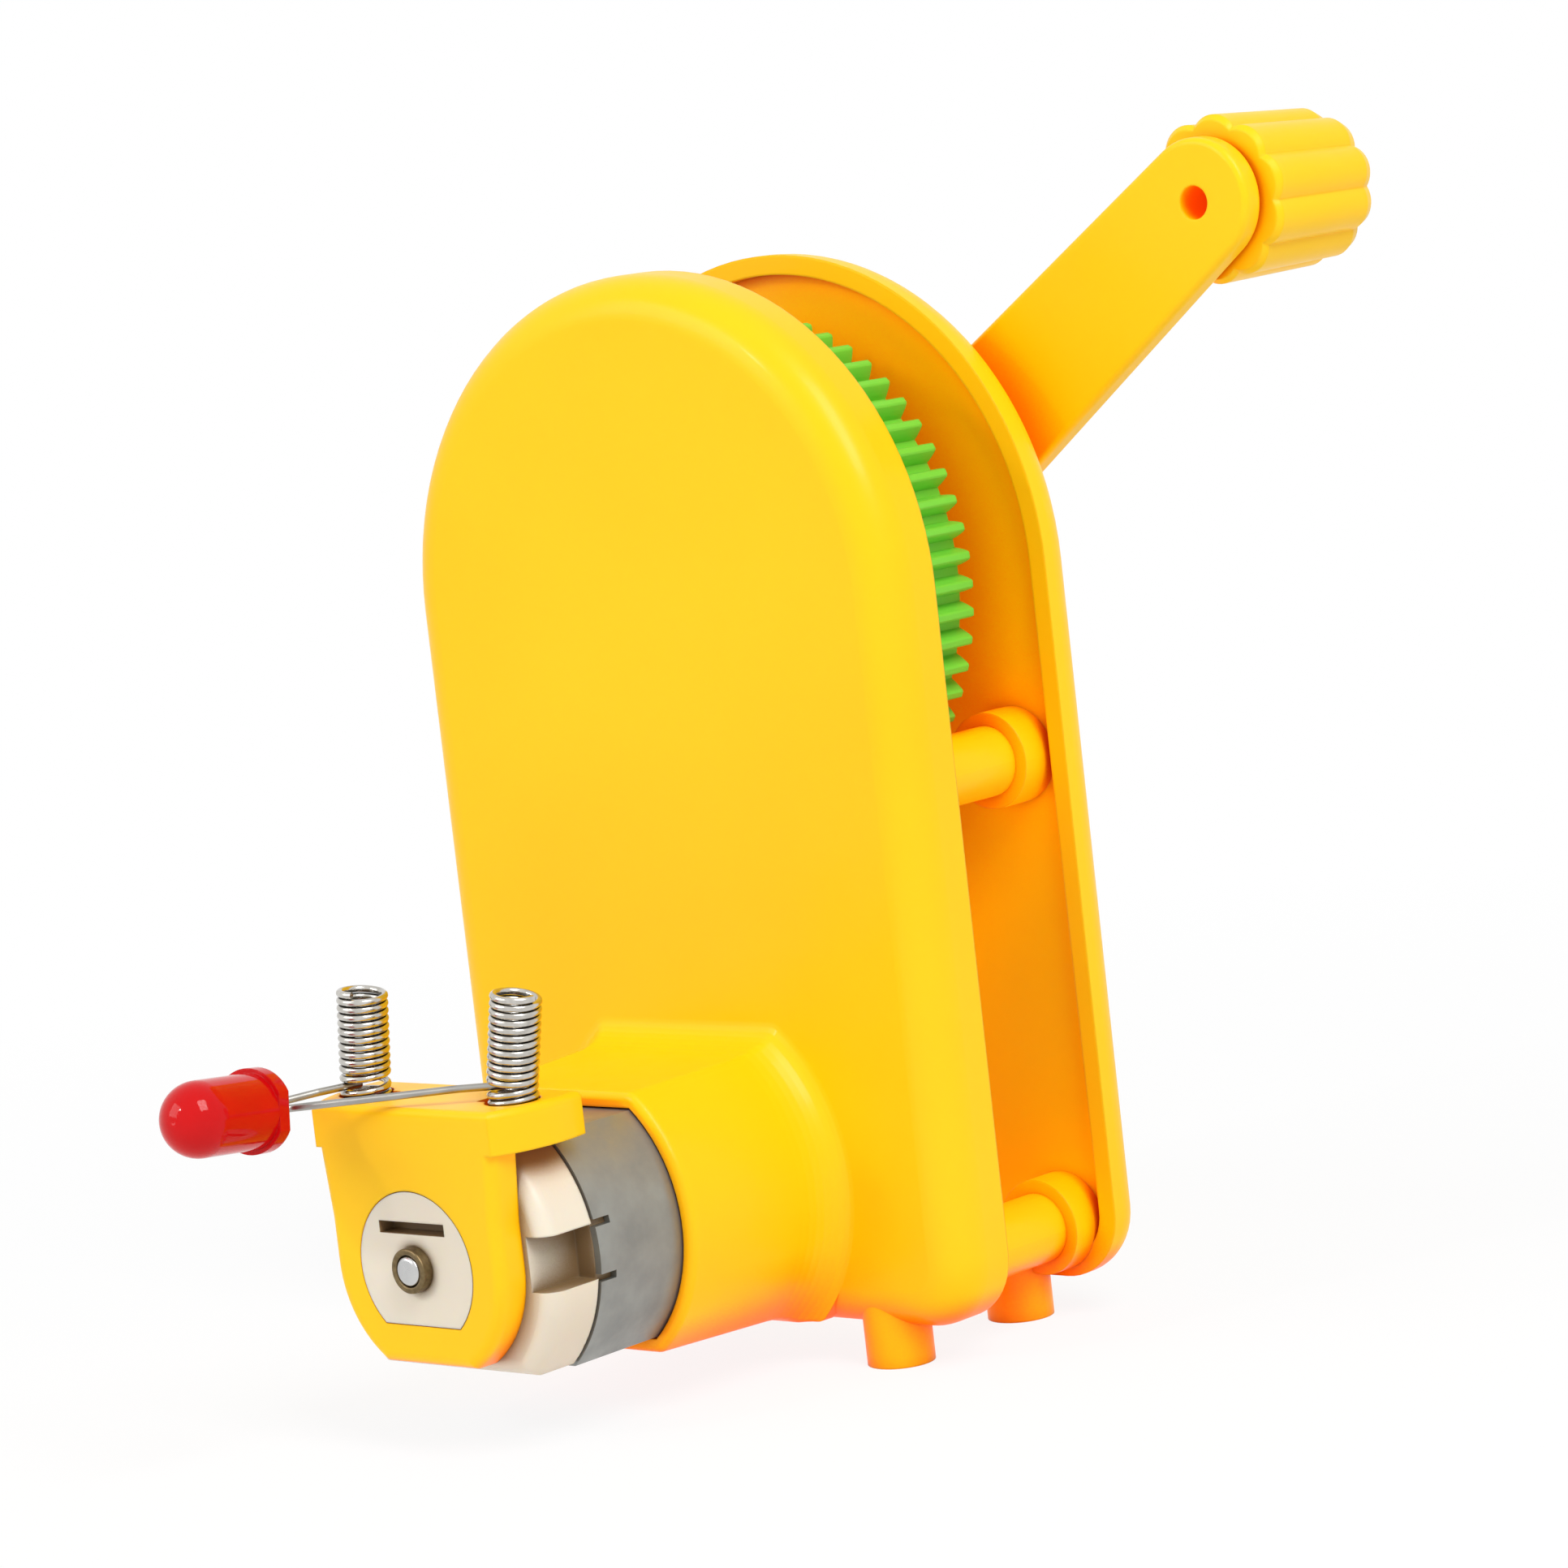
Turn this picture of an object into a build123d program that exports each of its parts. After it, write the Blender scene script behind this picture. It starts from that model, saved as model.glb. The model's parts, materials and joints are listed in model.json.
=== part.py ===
from build123d import *
import os
from math import acos, atan2, ceil, cos, degrees, hypot, pi, radians, sin, sqrt, tan

# Hand crank generator. Millimetres, +Z up, +X to the operator's right, +Y towards the crank.
# Origin: on the surface that the feet stand on, under the middle of the front shell's face.

# ---- driving dimensions -------------------------------------------------------------------
shell_width = 44.0          # across the straight sides of both shells
front_depth = 5.0           # front shell, face to rim
rear_start = 16.5           # rear shell, rim
rear_end = 19.8             # rear shell, back
crank_teeth = 60
crank_pinion_teeth = 12
crank_module = 0.6
wheel_teeth = 60
motor_pinion_teeth = 10
wheel_module = 0.5
crank_length = 39.75        # crank shaft to knob axis
crank_angle = 34.7          # crank at rest, degrees above +X
foot_length = 2.7           # below the shells
can_radius = 10.1           # motor across its round sides, halved
can_flat = 7.6              # motor across its flats, halved
can_length = 20.75
bell_length = 4.35
shaft_radius = 1.0          # motor shaft

# ---- shells -------------------------------------------------------------------------------
half_width = shell_width / 2
wall = 1.35                 # side walls
floor = 2.0                 # front plate
rear_floor = 2.2            # back plate
corner_radius = 4.7         # lower corners
front_round = 2.8           # round along the front edge
rear_round = 2.4
below_motor = 10.0          # motor axis to the shell's lower edge

# ---- shaft heights, from the two gear meshes ----------------------------------------------
wheel_centres = (wheel_teeth + motor_pinion_teeth) * wheel_module / 2
crank_centres = (crank_teeth + crank_pinion_teeth) * crank_module / 2
motor_z = foot_length + below_motor
shell_bottom = foot_length
wheel_z = motor_z + wheel_centres
crank_z = wheel_z + crank_centres

# ---- gears --------------------------------------------------------------------------------
pressure = radians(20)
backlash = 0.09
tip_clear = 0.15            # tooth tip to the mating root
crank_tip = crank_teeth * crank_module / 2 + 0.45
crank_pinion_tip = (crank_pinion_teeth / 2 + 1) * crank_module
wheel_tip = wheel_teeth * wheel_module / 2 + 0.30
motor_pinion_tip = (motor_pinion_teeth / 2 + 1) * wheel_module
crank_phase = 3.3           # a tooth of the crank gear at rest, degrees
wheel_phase = 0.0

# ---- stations along Y inside the case -----------------------------------------------------
wheel_start = 4.6
wheel_width = 3.0
crank_gear_start = 8.3
crank_gear_width = 4.8
end_play = 0.1
crank_gear_end = crank_gear_start + crank_gear_width
collar_start = 14.6
boss_end = crank_gear_end + 0.5
rear_inside = rear_end - rear_floor

# ---- shafts, pillars and screws -----------------------------------------------------------
run_fit = 0.05              # radial clearance of every running fit
crank_shaft_radius = 1.5
pin_radius = 1.0
pillar_x = 16.8
pillar_high = motor_z + 26.0
pillar_low = motor_z - 6.2
pillar_radius = 2.4
collar_radius = 3.3
spigot_radius = 1.9
spigot_fit = 0.1
screw_radius = 1.1
screw_head_radius = 2.0
screw_head_height = 1.3
screw_sink = 1.3            # counterbore from the back
screw_length = 9.0
foot_radius = 2.3
foot_x = 13.7
front_foot_y = 2.6
rear_foot_y = 15.4

# ---- motor tube and bracket ---------------------------------------------------------------
can_fit = 0.14
can_front = -0.25           # the can's front face
can_back = can_front - can_length
bell_back = can_back - bell_length
tube_mouth = -13.35
tube_mouth_radius = 11.05
tube_mouth_flat = 8.7
tube_base_radius = 11.9
tube_base_flat = 9.15
tube_blend = 1.6            # flare onto the front plate, outwards
flare_length = 3.2          # flare along the tube
tube_corner_round = 1.0     # where the tube's flats meet its round sides
tube_mouth_round = 0.5
boss_radius = 3.08          # the can's front boss
boss_length = 1.5
bracket_thickness = 2.25
bracket_back = bell_back - bracket_thickness
bracket_radius = 7.6
bracket_top_half = 8.0      # half width where the plate meets the platform
bracket_widen = 3.0         # above the motor axis, where the plate starts to widen
bracket_bottom = 6.45       # below the motor axis
window_radius = 5.1
window_flat = 3.8
platform_top = motor_z + 10.5
platform_bottom = motor_z + can_flat + 0.05
platform_radius = 9.5
platform_end = -20.1
bracket_round = 0.8         # down the plate's front edges
platform_round = 0.5        # round the platform's top edge

# ---- terminal springs and lamp ------------------------------------------------------------
spring_x = 6.7
spring_y = -23.8
spring_wire = 0.38
spring_coil = 1.51          # radius of the wire's centre line
spring_pitch = 0.81
spring_turns = 8.5
slit_extra = 0.34           # added to one turn's pitch, where a lead is pinched
left_lean = 0.12            # sideways per unit height above the slit
right_lean = 0.22
seat_depth = 0.65           # recess in the platform that takes the lowest turn
seat_radius = 1.82
left_start = 20             # degrees, where the lowest turn starts
right_start = 200
left_slit_turn = 0.65
right_slit_turn = 1.03
tail_bend = 0.5
tail_length = 1.0
tail_slot = 1.6             # square slot round each tail
lamp_radius = 2.5
lamp_flange = 2.8
lamp_length = 8.6
flange_thickness = 1.0
lamp_rear = (-7.8, -32.3, motor_z + 11.1)
lamp_yaw = 9.0              # degrees from -Y towards +X
lamp_tilt = 7.0             # dome raised, degrees
lead_radius = 0.25
lead_spacing = 2.54
lead_depth = 3.0            # inside the lens

# ---- crank arm and knob -------------------------------------------------------------------
arm_start = 22.7
arm_thickness = 1.8
arm_end = arm_start + arm_thickness
arm_hub_radius = 5.45
arm_tip_radius = 4.25
arm_round = 0.45
hub_boss_radius = 4.5
stub_radius = 2.1
stub_end = 34.0
stub_bore = 1.12
knob_start = arm_end + 0.4
knob_end = 36.4
knob_radius = 5.6
knob_taper = 0.3            # smaller at the far end
knob_lobes = 10
knob_phase = 13.5           # degrees, a lobe's place at rest
knob_sink_radius = 3.2
knob_fit = 0.08


def along_y(sketch, start, end):
    """A solid whose section lies in XZ, from start to end along Y."""
    plane = Plane(origin=(0, end, 0), x_dir=(1, 0, 0), z_dir=(0, -1, 0))
    return extrude(plane * sketch, amount=end - start)


def rod(radius, start, end, x=0.0, z=0.0):
    return along_y(Pos(x, z) * Circle(radius), start, end)


def ring(outer, inner, start, end, x=0.0, z=0.0):
    return rod(outer, start, end, x, z) - rod(inner, start - 1, end + 1, x, z)


def double_d(radius, flat, z=motor_z):
    """A circle with its top and bottom cut flat."""
    return Pos(0, z) * (Circle(radius) & Rectangle(2 * radius + 1, 2 * flat))


def tombstone(inset=0.0):
    """The shells' outline in XZ: a round top, straight sides, rounded lower corners."""
    width = 2 * (half_width - inset)
    base = shell_bottom + inset
    block = Pos(0, (crank_z + base) / 2) * Rectangle(width, crank_z - base)
    lower = block.vertices().group_by(Axis.Y)[0]
    block = fillet(lower, corner_radius - inset)
    return block + Pos(0, crank_z) * Circle(width / 2)


def involute(radius, base):
    angle = acos(min(1.0, base / radius))
    return tan(angle) - angle


def gear_face(teeth, module, tip, mate_tip, centres, phase, x=0.0, z=0.0):
    """A spur gear's section; its flanks are involutes drawn through a few points."""
    pitch = teeth * module / 2
    base = pitch * cos(pressure)
    root = centres - mate_tip - tip_clear
    half = pi / (2 * teeth) - backlash / (2 * pitch) + involute(pitch, base)
    foot = max(root + 0.02, base)
    shoulder = tip - 0.1
    flank = [root, foot, (foot + pitch) / 2, pitch, (pitch + shoulder) / 2, shoulder]
    flank = sorted({round(r, 4) for r in flank if root <= r <= shoulder})
    points = []
    for tooth in range(teeth):
        middle = radians(phase) + 2 * pi * tooth / teeth
        sides = [(r, half - involute(max(r, base), base)) for r in flank]
        sides.append((tip, 0.62 * sides[-1][1]))
        points += [(r * cos(middle - a), r * sin(middle - a)) for r, a in sides]
        points += [(r * cos(middle + a), r * sin(middle + a)) for r, a in reversed(sides)]
    return Pos(x, z) * make_face(Polyline(*points, close=True))


def mesh_phase(phase, teeth, mate_teeth):
    """Phase of the gear below, so that its gap takes the upper gear's tooth."""
    offset = ((-90 - phase) * teeth / 360) % 1
    return 90 - (0.5 - offset) * 360 / mate_teeth


def unit(vector):
    return vector / vector.length


def biarc(start, start_dir, end, end_dir):
    """Two arcs from start to end with the given directions."""
    chord = end - start
    both = start_dir + end_dir
    spread = 2 * (1 - start_dir.dot(end_dir))
    along = chord.dot(both)
    reach = (-along + sqrt(along * along + spread * chord.dot(chord))) / spread
    joint = (start + end + (start_dir - end_dir) * reach) * 0.5
    middle = unit((end - end_dir * reach) - (start + start_dir * reach))
    first = Edge.make_tangent_arc(start, start_dir, joint)
    second = Edge.make_tangent_arc(joint, middle, end)
    return [first, second]


def bent_path(points, bend):
    """Straight runs joined by tangent arcs."""
    points = [Vector(*p) for p in points]
    edges = []
    here = points[0]
    for before, corner, after in zip(points, points[1:], points[2:]):
        incoming = unit(corner - before)
        outgoing = unit(after - corner)
        angle = acos(max(-1.0, min(1.0, incoming.dot(outgoing))))
        setback = bend * tan(angle / 2)
        arc_start = corner - incoming * setback
        arc_end = corner + outgoing * setback
        edges.append(Edge.make_line(here, arc_start))
        edges.append(Edge.make_tangent_arc(arc_start, incoming, arc_end))
        here = arc_end
    edges.append(Edge.make_line(here, points[-1]))
    return edges


def tube(edges, radius):
    path = Wire(edges)
    start = path.position_at(0)
    section = Plane(origin=start, z_dir=path.tangent_at(0)) * Circle(radius)
    return sweep(section, path=path)


# ---- case ---------------------------------------------------------------------------------
def pillars():
    return [(side * pillar_x, z) for side in (-1, 1) for z in (pillar_low, pillar_high)]


def foot_at(x, y, top):
    return Pos(x, y, top / 2) * Cylinder(foot_radius, top)


def tube_section(y, grow):
    share = (y - tube_mouth) / (floor / 2 - tube_mouth)
    radius = tube_mouth_radius + share * (tube_base_radius - tube_mouth_radius) + grow
    high = tube_mouth_flat + share * (tube_base_flat - tube_mouth_flat) + grow
    low = min(high, below_motor - 0.3)
    face = Circle(radius) & Pos(0, (high - low) / 2) * Rectangle(2 * radius + 1, high + low)
    face = fillet(face.vertices(), tube_corner_round)
    plane = Plane(origin=(0, y, 0), x_dir=(1, 0, 0), z_dir=(0, -1, 0))
    return plane * Pos(0, motor_z) * face


def motor_tube():
    """Tapered double-D tube that flares onto the front plate along a quarter ellipse."""
    steps = 8
    sections = [tube_section(tube_mouth, 0)]
    for step in range(steps + 1):
        turn = radians(90 * step / steps)
        depth = flare_length * (1 - sin(turn))
        sections.append(tube_section(-depth, tube_blend * (1 - cos(turn))))
    sections.append(tube_section(floor / 2, tube_blend))
    solid = loft(sections, ruled=True)
    return fillet(solid.faces().sort_by(Axis.Y)[0].edges(), tube_mouth_round)


def front_shell():
    body = along_y(tombstone(), 0, front_depth)
    edge = body.faces().sort_by(Axis.Y)[0].edges()
    body = fillet(edge, front_round)
    body -= along_y(tombstone(wall), floor, front_depth + 1)
    body += motor_tube()
    for x, z in pillars():
        body += rod(pillar_radius, floor - 0.5, collar_start, x, z)
        body += rod(spigot_radius, collar_start - 0.5, rear_inside, x, z)
        body -= rod(screw_radius, rear_end - screw_sink - screw_length - 0.5, rear_end, x, z)
    crank_boss = crank_shaft_radius + 2.3
    body += rod(crank_boss, floor - 0.5, crank_gear_start - end_play, 0, crank_z)
    body -= rod(crank_shaft_radius + run_fit, floor, crank_gear_start, 0, crank_z)
    body += rod(pin_radius + 1.8, floor - 0.5, wheel_start - end_play, 0, wheel_z)
    body -= rod(pin_radius, floor - 1.2, wheel_start, 0, wheel_z)
    for side in (-1, 1):
        body += foot_at(side * foot_x, front_foot_y, shell_bottom + 2.4)
    bore = double_d(can_radius + can_fit, can_flat + can_fit)
    body -= along_y(bore, tube_mouth - 1, can_front)
    body -= rod(boss_radius + can_fit, can_front - 1, floor + 1, 0, motor_z)
    return body


def rear_shell():
    body = along_y(tombstone(), rear_start, rear_end)
    edge = body.faces().sort_by(Axis.Y)[-1].edges()
    body = fillet(edge, rear_round)
    body -= along_y(tombstone(wall), rear_start - 1, rear_inside)
    for side in (-1, 1):
        body += foot_at(side * foot_x, rear_foot_y, shell_bottom + 2.2)
        body -= rod(pillar_radius + spigot_fit, 0, collar_start, side * pillar_x, pillar_low)
    body += rod(crank_shaft_radius + 3.0, boss_end, rear_end + 0.3, 0, crank_z)
    body += rod(pin_radius + 1.8, boss_end, rear_inside + 0.5, 0, wheel_z)
    for x, z in pillars():
        body += rod(collar_radius, collar_start, rear_inside + 0.5, x, z)
        body -= rod(spigot_radius + spigot_fit, collar_start - 1, rear_inside, x, z)
        body -= rod(screw_radius + 0.2, rear_inside - 1, rear_end + 1, x, z)
        body -= rod(screw_head_radius + 0.2, rear_end - screw_sink, rear_end + 1, x, z)
    body -= rod(crank_shaft_radius + run_fit, boss_end - 1, rear_end + 1, 0, crank_z)
    body -= rod(pin_radius, boss_end - 1, rear_end - 1.0, 0, wheel_z)
    return body


def cross_recess(y, x, z, size):
    """Cross-shaped driver recess cut from y towards -Y."""
    bars = Rectangle(size, size / 3) + Rectangle(size / 3, size)
    return along_y(Pos(x, z) * bars, y - 0.8, y + 0.5)


def case_screw(x, z):
    seat = rear_end - screw_sink
    head = rod(screw_head_radius, seat, seat + screw_head_height, x, z)
    head = fillet(head.faces().sort_by(Axis.Y)[-1].edges(), 0.6)
    screw = head + rod(screw_radius, seat - screw_length, seat + 0.2, x, z)
    return screw - cross_recess(seat + screw_head_height, x, z, 2.1)


# ---- bracket, springs and lamp ------------------------------------------------------------
def tail_spot(x, start_angle):
    """Where a spring's tail goes down: the bend's length back from the lowest turn."""
    turn = radians(start_angle)
    reach = (cos(turn) * spring_coil + sin(turn) * tail_bend,
             sin(turn) * spring_coil - cos(turn) * tail_bend)
    return x + reach[0], spring_y + reach[1]


def tail_spots():
    return [tail_spot(-spring_x, left_start), tail_spot(spring_x, right_start)]


def terminal_bracket():
    low = Circle(bracket_radius) & Pos(0, bracket_radius - bracket_bottom) * Rectangle(
        2 * bracket_radius, 2 * bracket_radius)
    rise = platform_top - motor_z
    plate = low + Pos(0, bracket_widen / 2) * Rectangle(2 * bracket_radius, bracket_widen)
    shoulder = platform_bottom - motor_z
    corners = [(bracket_radius, bracket_widen), (bracket_top_half, shoulder),
               (bracket_top_half, rise), (-bracket_top_half, rise),
               (-bracket_top_half, shoulder), (-bracket_radius, bracket_widen)]
    plate += make_face(Polyline(*corners, close=True))
    body = along_y(Pos(0, motor_z) * plate, bracket_back, bell_back)
    rims = [edge for edge in body.faces().sort_by(Axis.Y)[0].edges()
            if edge.center().Z < platform_top - 0.01]
    body = fillet(rims, bracket_round)
    middle = bracket_back + sqrt(platform_radius ** 2 - bracket_top_half ** 2)
    depth = platform_end - bracket_back
    strip = Pos(0, bracket_back + depth / 2) * Rectangle(4 * platform_radius, depth)
    disc = Pos(0, middle) * Circle(platform_radius) & strip
    body += Pos(0, 0, platform_bottom) * extrude(disc, platform_top - platform_bottom)
    body = fillet(body.faces().sort_by(Axis.Z)[-1].edges(), platform_round)
    window = Circle(window_radius) & Pos(0, window_radius - window_flat) * Rectangle(
        2 * window_radius, 2 * window_radius)
    body -= along_y(Pos(0, motor_z) * window, bracket_back - 1, bell_back + 1)
    for side, (x, y) in zip((-1, 1), tail_spots()):
        body -= Pos(side * spring_x, spring_y, platform_top) * Cylinder(seat_radius, 2 * seat_depth)
        body -= Pos(x, y, platform_bottom) * Box(tail_slot, tail_slot, 2 * (platform_top - platform_bottom))
    return body


def spring_point(turn, x, start_angle, slit_turn, lean_rate):
    rise = spring_pitch * turn
    rise += slit_extra * min(1.0, max(0.0, turn - slit_turn))
    lean = lean_rate * max(0.0, rise - spring_pitch * slit_turn)
    angle = radians(start_angle) + 2 * pi * turn
    base = platform_top - seat_depth + spring_wire / 2 + 0.05
    return Vector(
        x + lean + spring_coil * cos(angle),
        spring_y + spring_coil * sin(angle),
        base + rise,
    )


def spring_edges(x, start_angle, slit_turn, lean_rate):
    """Tail, bend, turns as biarcs of a quarter turn, and a straight free end."""
    nudge = 0.002
    quarters = int(ceil(4 * spring_turns))
    spots = []
    for quarter in range(quarters + 1):
        turn = quarter / 4
        here = spring_point(turn, x, start_angle, slit_turn, lean_rate)
        ahead = spring_point(turn + nudge, x, start_angle, slit_turn, lean_rate)
        behind = spring_point(turn - nudge, x, start_angle, slit_turn, lean_rate)
        spots.append((here, unit(ahead - behind)))
    first, heading = spots[0]
    flat = unit(Vector(heading.X, heading.Y, 0))
    spots[0] = (first, flat)
    bend_start = first - flat * tail_bend - Vector(0, 0, tail_bend)
    tail_start = bend_start - Vector(0, 0, tail_length)
    edges = [Edge.make_line(tail_start, bend_start)]
    edges.append(Edge.make_tangent_arc(bend_start, Vector(0, 0, 1), first))
    for (start, start_dir), (end, end_dir) in zip(spots, spots[1:]):
        edges += biarc(start, start_dir, end, end_dir)
    last, heading = spots[-1]
    edges.append(Edge.make_line(last, last + heading * spring_wire))
    return edges


def self_gap(edges):
    """Least distance between turns, wire surface to wire surface."""
    path = Wire(edges)
    count = 900
    step = path.length / count
    spots = [path.position_at(i / count) for i in range(count + 1)]
    apart = int(0.6 * 2 * pi * spring_coil / step)
    least = min(
        (spots[i] - spots[j]).length
        for i in range(len(spots))
        for j in range(i + apart, min(len(spots), i + 3 * apart))
    )
    return least - spring_wire


def lamp_axes():
    yaw = radians(lamp_yaw)
    tilt = radians(lamp_tilt)
    out = Vector(sin(yaw) * cos(tilt), -cos(yaw) * cos(tilt), sin(tilt))
    side = Vector(cos(yaw), sin(yaw), 0)
    return Vector(*lamp_rear), out, side


def lamp_lens():
    rear, out, side = lamp_axes()
    place = Plane(origin=rear, x_dir=side, z_dir=out)
    body = extrude(Circle(lamp_radius), lamp_length - lamp_radius)
    body += Pos(0, 0, lamp_length - lamp_radius) * Sphere(lamp_radius)
    flange = Circle(lamp_flange) & Pos(-lamp_flange + lamp_radius, 0) * Rectangle(
        2 * lamp_flange, 2 * lamp_flange)
    body += extrude(flange, flange_thickness)
    for edge in (-1, 1):
        body -= Pos(edge * lead_spacing / 2, 0, 0) * extrude(Circle(lead_radius), lead_depth)
    return place * body


def slit_height(x, start_angle, slit_turn):
    low = spring_point(slit_turn, x, start_angle, slit_turn, 0)
    high = spring_point(slit_turn + 1, x, start_angle, slit_turn, 0)
    return (low.Z + high.Z) / 2


def lead_edges(side_sign, target_x, start_angle, slit_turn):
    """From inside the lens, out of its rear, then level into the spring's slit."""
    rear, out, side = lamp_axes()
    root = rear + side * (side_sign * lead_spacing / 2)
    height = slit_height(target_x, start_angle, slit_turn)
    angle = radians(start_angle) + 2 * pi * slit_turn
    entry = Vector(target_x + spring_coil * cos(angle), spring_y + spring_coil * sin(angle), height)
    inward = unit(Vector(target_x - entry.X, spring_y - entry.Y, 0))
    leave = root - out * 1.2
    end = entry + inward * 1.2
    level = entry - inward * 2.0
    return bent_path([root + out * lead_depth, leave, level, end], 0.9)


# ---- motor --------------------------------------------------------------------------------
can_wall = 0.5
rotor_radius = 6.6
rotor_start = -17.2
rotor_end = -8.2
shaft_front = 9.2
shaft_back = -29.1
notch_half = 1.8
notch_rise = 0.2            # notch centre above the motor axis
notch_floor = 8.0
bearing_radius = 2.2
rear_bush_radius = 1.49
commutator_radius = 2.5
bell_plate = 1.3            # end bell's back plate
bell_rim_round = 0.3        # bares the can's end face
brush_gap = 0.06
brush_thickness = 0.25
brush_width = 1.4
brush_overreach = 2.2       # past the commutator's axis
brush_y = can_back - 0.1
strip_thickness = 0.3       # terminal strips
strip_width = 0.9


def motor_can():
    body = along_y(double_d(can_radius, can_flat), can_back, can_front)
    inside = double_d(can_radius - can_wall, can_flat - can_wall)
    body -= along_y(inside, can_back - 1, can_front - can_wall)
    body += rod(boss_radius, can_front - can_wall, can_front + boss_length, 0, motor_z)
    body -= rod(bearing_radius, can_front - 3, can_front + boss_length + 1, 0, motor_z)
    for side in (-1, 1):
        for edge in (-1, 1):
            slot = Box(3, 1.4, 0.5)
            level = motor_z + notch_rise + edge * notch_half
            spot = (side * can_radius, can_back + 0.7, level)
            body -= Pos(*spot) * slot
    return body


def motor_end_bell():
    outer = double_d(can_radius - 0.1, can_flat - 0.25)
    body = along_y(outer, bell_back, can_back)
    body = fillet(body.faces().sort_by(Axis.Y)[0].edges(), 1.2)
    body = fillet(body.faces().sort_by(Axis.Y)[-1].edges(), bell_rim_round)
    body += along_y(double_d(can_radius - can_wall - 0.02, can_flat - can_wall - 0.02),
                    can_back - 0.5, can_back + 1.6)
    hollow = double_d(can_radius - 2.3, can_flat - 1.6)
    body -= along_y(hollow, bell_back + bell_plate, can_back + 3)
    boss = Circle(window_radius - 0.05) & Pos(0, window_radius - window_flat + 0.05) * Rectangle(
        2 * window_radius, 2 * window_radius)
    body += along_y(Pos(0, motor_z) * boss, bracket_back, bell_back + 0.5)
    body += rod(3.0, bell_back, bell_back + 2.0, 0, motor_z)
    body -= rod(rear_bush_radius, bracket_back - 1, bell_back + 4, 0, motor_z)
    body -= Pos(0, bracket_back, motor_z + 2.65) * Box(5.9, 2.6, 0.8)
    for side in (-1, 1):
        notch = Box(4.0, bell_length + 4, 2 * notch_half)
        spot = (side * (notch_floor + 2.0), can_back - bell_length / 2 - 2, motor_z + notch_rise)
        body -= Pos(*spot) * notch
    for x, y in tail_spots():
        body -= Pos(x, y, motor_z + can_flat) * Box(tail_slot, tail_slot, 4)
    return body


def motor_front_bearing():
    return ring(bearing_radius, shaft_radius + run_fit, can_front - 1.6,
                can_front + boss_length, 0, motor_z)


def motor_rear_bearing():
    return ring(rear_bush_radius, shaft_radius + run_fit, bracket_back - 0.8,
                bell_back + 2.0, 0, motor_z)


def motor_magnets():
    outer = can_radius - can_wall
    inner = rotor_radius + 0.45
    whole = Circle(outer) - Circle(inner)
    length = rotor_end - rotor_start
    magnets = []
    for side in (-1, 1):
        arc = whole & Pos(side * outer, 0) * Rectangle(outer, 2 * (can_flat - can_wall) - 0.6)
        magnets.append(along_y(Pos(0, motor_z) * arc, rotor_start - 1, rotor_start + length + 1))
    return magnets


def motor_armature():
    """Three poles with curved shoes."""
    hub = Circle(2.6)
    shoe_ring = Circle(rotor_radius) - Circle(rotor_radius - 1.1)
    profile = hub
    for pole in range(3):
        turn = 120 * pole + 90
        neck = Rot(0, 0, turn) * Pos(rotor_radius / 2, 0) * Rectangle(rotor_radius, 2.2)
        reach = Rot(0, 0, turn) * Pos(rotor_radius, 0) * Rectangle(rotor_radius * 1.02, 9.6)
        profile += (neck & Circle(rotor_radius)) + (shoe_ring & reach)
    profile -= Circle(shaft_radius)
    return along_y(Pos(0, motor_z) * profile, rotor_start, rotor_end)


def motor_windings():
    """One closed coil round each pole's neck."""
    coils = []
    for pole in range(3):
        turn = 120 * pole + 90
        middle = (rotor_start + rotor_end) / 2
        length = rotor_end - rotor_start
        outer = Box(2.1, length + 2.4, 4.2)
        inner = Box(4, length + 0.04, 2.24)
        coil = Pos(3.9, 0, 0) * (fillet(outer.edges().filter_by(Axis.X), 0.9) - inner)
        coils.append(Pos(0, middle, motor_z) * Rot(0, -turn, 0) * coil)
    return coils


def motor_commutator():
    body = ring(commutator_radius, shaft_radius, can_back - 0.9, rotor_start - 1.4, 0, motor_z)
    for slot in range(3):
        cut = Pos(commutator_radius, 0, 0) * Box(0.6, 2.4, 0.35)
        body -= Pos(0, can_back - 0.2, motor_z) * Rot(0, -120 * slot - 30, 0) * cut
    body += ring(commutator_radius - 0.6, shaft_radius, rotor_start - 1.6, rotor_start, 0, motor_z)
    return body


def brush_level():
    return commutator_radius + brush_gap + brush_thickness / 2


def strip_x(x):
    """The terminal strip stands just inside the spring's tail."""
    inward = -1 if x > 0 else 1
    return x + inward * (spring_wire + strip_thickness) / 2


def motor_brushes():
    """One arm above and one below the commutator, each held at its outer end."""
    arms = []
    for side, (x, y) in zip((1, -1), tail_spots()):
        end = strip_x(x) + side * strip_thickness / 2
        free = side * brush_overreach
        arm = Box(abs(free - end), brush_width, brush_thickness)
        arms.append(Pos((free + end) / 2, brush_y, motor_z + side * brush_level()) * arm)
    return arms


def motor_terminals():
    """Strips from the brush arms up to the spring tails."""
    strips = []
    for side, (x, y) in zip((1, -1), tail_spots()):
        low = motor_z + side * brush_level() - brush_thickness / 2
        high = platform_top - seat_depth - 0.4
        front = bell_back + bell_plate + 0.1
        riser = Box(strip_thickness, strip_width, high - low)
        riser = Pos(strip_x(x), front + strip_width / 2, (low + high) / 2) * riser
        back = brush_y + brush_width / 2
        link = Box(strip_thickness, back - front, strip_width)
        link = Pos(strip_x(x), (front + back) / 2, low + strip_width / 2) * link
        strips.append(riser + link)
    return strips


def motor_shaft():
    return rod(shaft_radius, shaft_back, shaft_front, 0, motor_z)


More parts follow.
